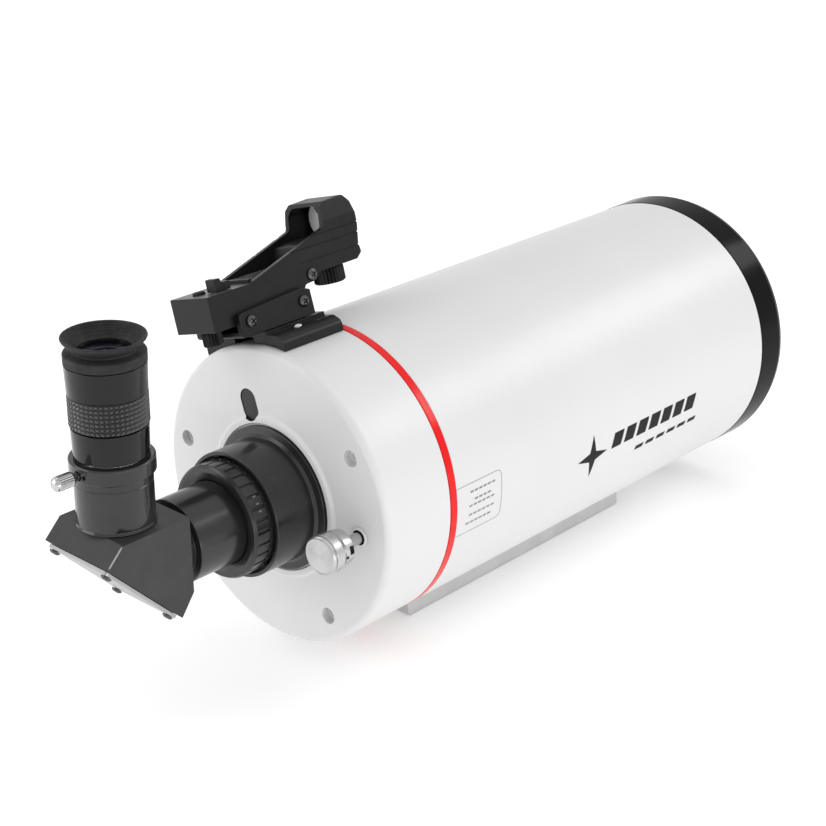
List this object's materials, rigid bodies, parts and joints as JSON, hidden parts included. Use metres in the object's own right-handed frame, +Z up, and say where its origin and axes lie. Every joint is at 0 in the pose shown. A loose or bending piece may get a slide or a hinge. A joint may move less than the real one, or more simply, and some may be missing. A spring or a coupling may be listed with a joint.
{
  "type": "catadioptric telescope tube assembly",
  "caption": "Short closed white telescope tube with meniscus corrector, moving-mirror focuser, star diagonal, eyepiece, reflex finder and dovetail bar.",
  "frame": {"origin": "middle of the flat underside of the dovetail bar", "axes": "+Y along the optical axis toward the sky, +Z up from the bar to the tube, +X to the right seen from behind"},
  "size_m": [0.1534, 0.4627, 0.2198],
  "materials": {
    "white_enamel": "gloss",
    "white_cell_enamel": "gloss",
    "red_trim": "gloss",
    "gloss_black": "gloss",
    "satin_black": "satin",
    "flat_black": "matte",
    "eyecup_rubber": "matte",
    "anodised_bar": "satin",
    "satin_silver": "satin",
    "bright_chrome": "polished",
    "dark_steel": "satin",
    "silver_cover": "satin",
    "brass": "satin",
    "mirror_coating": "polished",
    "coated_glass": "polished",
    "finder_black": "satin"
  },
  "bodies": {
    "tube": {"rear_cell": "white_cell_enamel", "red_trim_ring": "red_trim", "main_tube": "white_enamel", "front_cell": "gloss_black", "corrector_lens": "coated_glass", "corrector_retainer": "flat_black", "secondary_mirror": "mirror_coating", "secondary_baffle": "flat_black", "baffle_tube": "flat_black", "focus_bushing": "brass", "collimation_screw_a": "bright_chrome", "collimation_screw_b": "bright_chrome", "collimation_screw_c": "bright_chrome", "visual_back": "satin_black", "dovetail_bar": "anodised_bar", "dovetail_bolt_0": "dark_steel", "dovetail_bolt_1": "dark_steel", "finder_base": "finder_black", "base_screw_0": "bright_chrome", "base_screw_1": "bright_chrome"},
    "focuser": {"focus_shaft": "satin_silver", "focus_hub": "satin_silver", "focus_knob": "satin_silver", "focus_set_screw": "dark_steel"},
    "mirror_cell": {"mirror_carrier": "dark_steel", "primary_mirror": "mirror_coating", "mirror_retainer": "flat_black"},
    "collar": {"coupling_ring": "satin_black"},
    "nosepiece": {"nose_tube": "satin_black"},
    "diagonal": {"diagonal_housing": "satin_black", "diagonal_prism": "coated_glass", "cover_plate": "silver_cover", "cover_screw_0": "dark_steel", "cover_screw_1": "dark_steel", "cover_screw_2": "dark_steel", "cover_screw_3": "dark_steel", "eyepiece_holder": "satin_black"},
    "thumbscrew": {"clamp_thumbscrew": "bright_chrome"},
    "eyepiece_barrel": {"eyepiece_barrel": "bright_chrome", "field_lens": "coated_glass"},
    "eyepiece_head": {"eyepiece_body": "gloss_black", "eyepiece_grip": "eyecup_rubber", "eyecup": "eyecup_rubber", "eye_lens": "coated_glass"},
    "finder_yoke": {"finder_bracket": "finder_black", "clamp_screw_0": "dark_steel", "clamp_screw_1": "dark_steel"},
    "finder": {"finder_body": "finder_black", "finder_window": "coated_glass", "emitter_housing": "finder_black", "case_screw": "dark_steel"},
    "finder_elevation_knob": {"elevation_knob": "finder_black"},
    "finder_azimuth_knob": {"azimuth_knob": "finder_black"},
    "finder_button": {"power_button": "eyecup_rubber"}
  },
  "joints": [
    {"name": "focus_turn", "type": "hinge", "parent": "tube", "child": "focuser", "pos_m": [0.058, -0.163, 0.0872], "axis": [0, 1, 0], "range_deg": [-1800, 1800]},
    {"name": "mirror_travel", "type": "slide", "parent": "tube", "child": "mirror_cell", "axis": [0, 1, 0], "range_m": [-0.004, 0.004]},
    {"name": "collar_turn", "type": "hinge", "parent": "tube", "child": "collar", "pos_m": [0, -0.193, 0.089], "axis": [0, 1, 0], "range_deg": [-180, 0]},
    {"name": "nose_pull", "type": "slide", "parent": "tube", "child": "nosepiece", "axis": [0, -1, 0], "range_m": [0, 0.02]},
    {"name": "diagonal_swivel", "type": "hinge", "parent": "nosepiece", "child": "diagonal", "pos_m": [0, -0.233, 0.089], "axis": [0, 1, 0], "range_deg": [-90, 90]},
    {"name": "thumbscrew_turn", "type": "hinge", "parent": "diagonal", "child": "thumbscrew", "pos_m": [0, -0.288, 0.1399], "axis": [0, -1, 0], "range_deg": [0, 720]},
    {"name": "eyepiece_lift", "type": "slide", "parent": "diagonal", "child": "eyepiece_barrel", "axis": [0, 0, 1], "range_m": [0, 0.032]},
    {"name": "eyepiece_turn", "type": "hinge", "parent": "eyepiece_barrel", "child": "eyepiece_head", "pos_m": [0, -0.2584, 0.149], "axis": [0, 0, 1], "range_deg": [-180, 180]},
    {"name": "finder_azimuth", "type": "hinge", "parent": "tube", "child": "finder_yoke", "pos_m": [-0.02288, -0.148, 0.16774], "axis": [-0.279, 0, 0.9603], "range_deg": [-1.5, 1.5]},
    {"name": "finder_elevation", "type": "hinge", "parent": "finder_yoke", "child": "finder", "pos_m": [-0.02461, -0.1662, 0.1737], "axis": [0.9603, 0, 0.279], "range_deg": [-1.5, 1.5]},
    {"name": "elevation_knob_turn", "type": "hinge", "parent": "finder", "child": "finder_elevation_knob", "pos_m": [-0.02458, -0.0984, 0.18079], "axis": [-0.279, 0, 0.9603], "range_deg": [-1080, 1080]},
    {"name": "azimuth_knob_turn", "type": "hinge", "parent": "finder", "child": "finder_azimuth_knob", "pos_m": [-0.022, -0.1785, 0.17008], "axis": [-0.279, 0, 0.9603], "range_deg": [-540, 540]},
    {"name": "button_press", "type": "slide", "parent": "finder", "child": "finder_button", "axis": [0.279, 0, -0.9603], "range_m": [0, 0.0008], "stiffness_N_per_m": 300, "springref_m": -0.002}
  ],
  "couplings": [
    {"joint": "focus_turn", "follows": "mirror_travel", "rad_per_m": 7850},
    {"joint": "elevation_knob_turn", "follows": "finder_elevation", "ratio": 719.9},
    {"joint": "azimuth_knob_turn", "follows": "finder_azimuth", "ratio": 359.9}
  ]
}
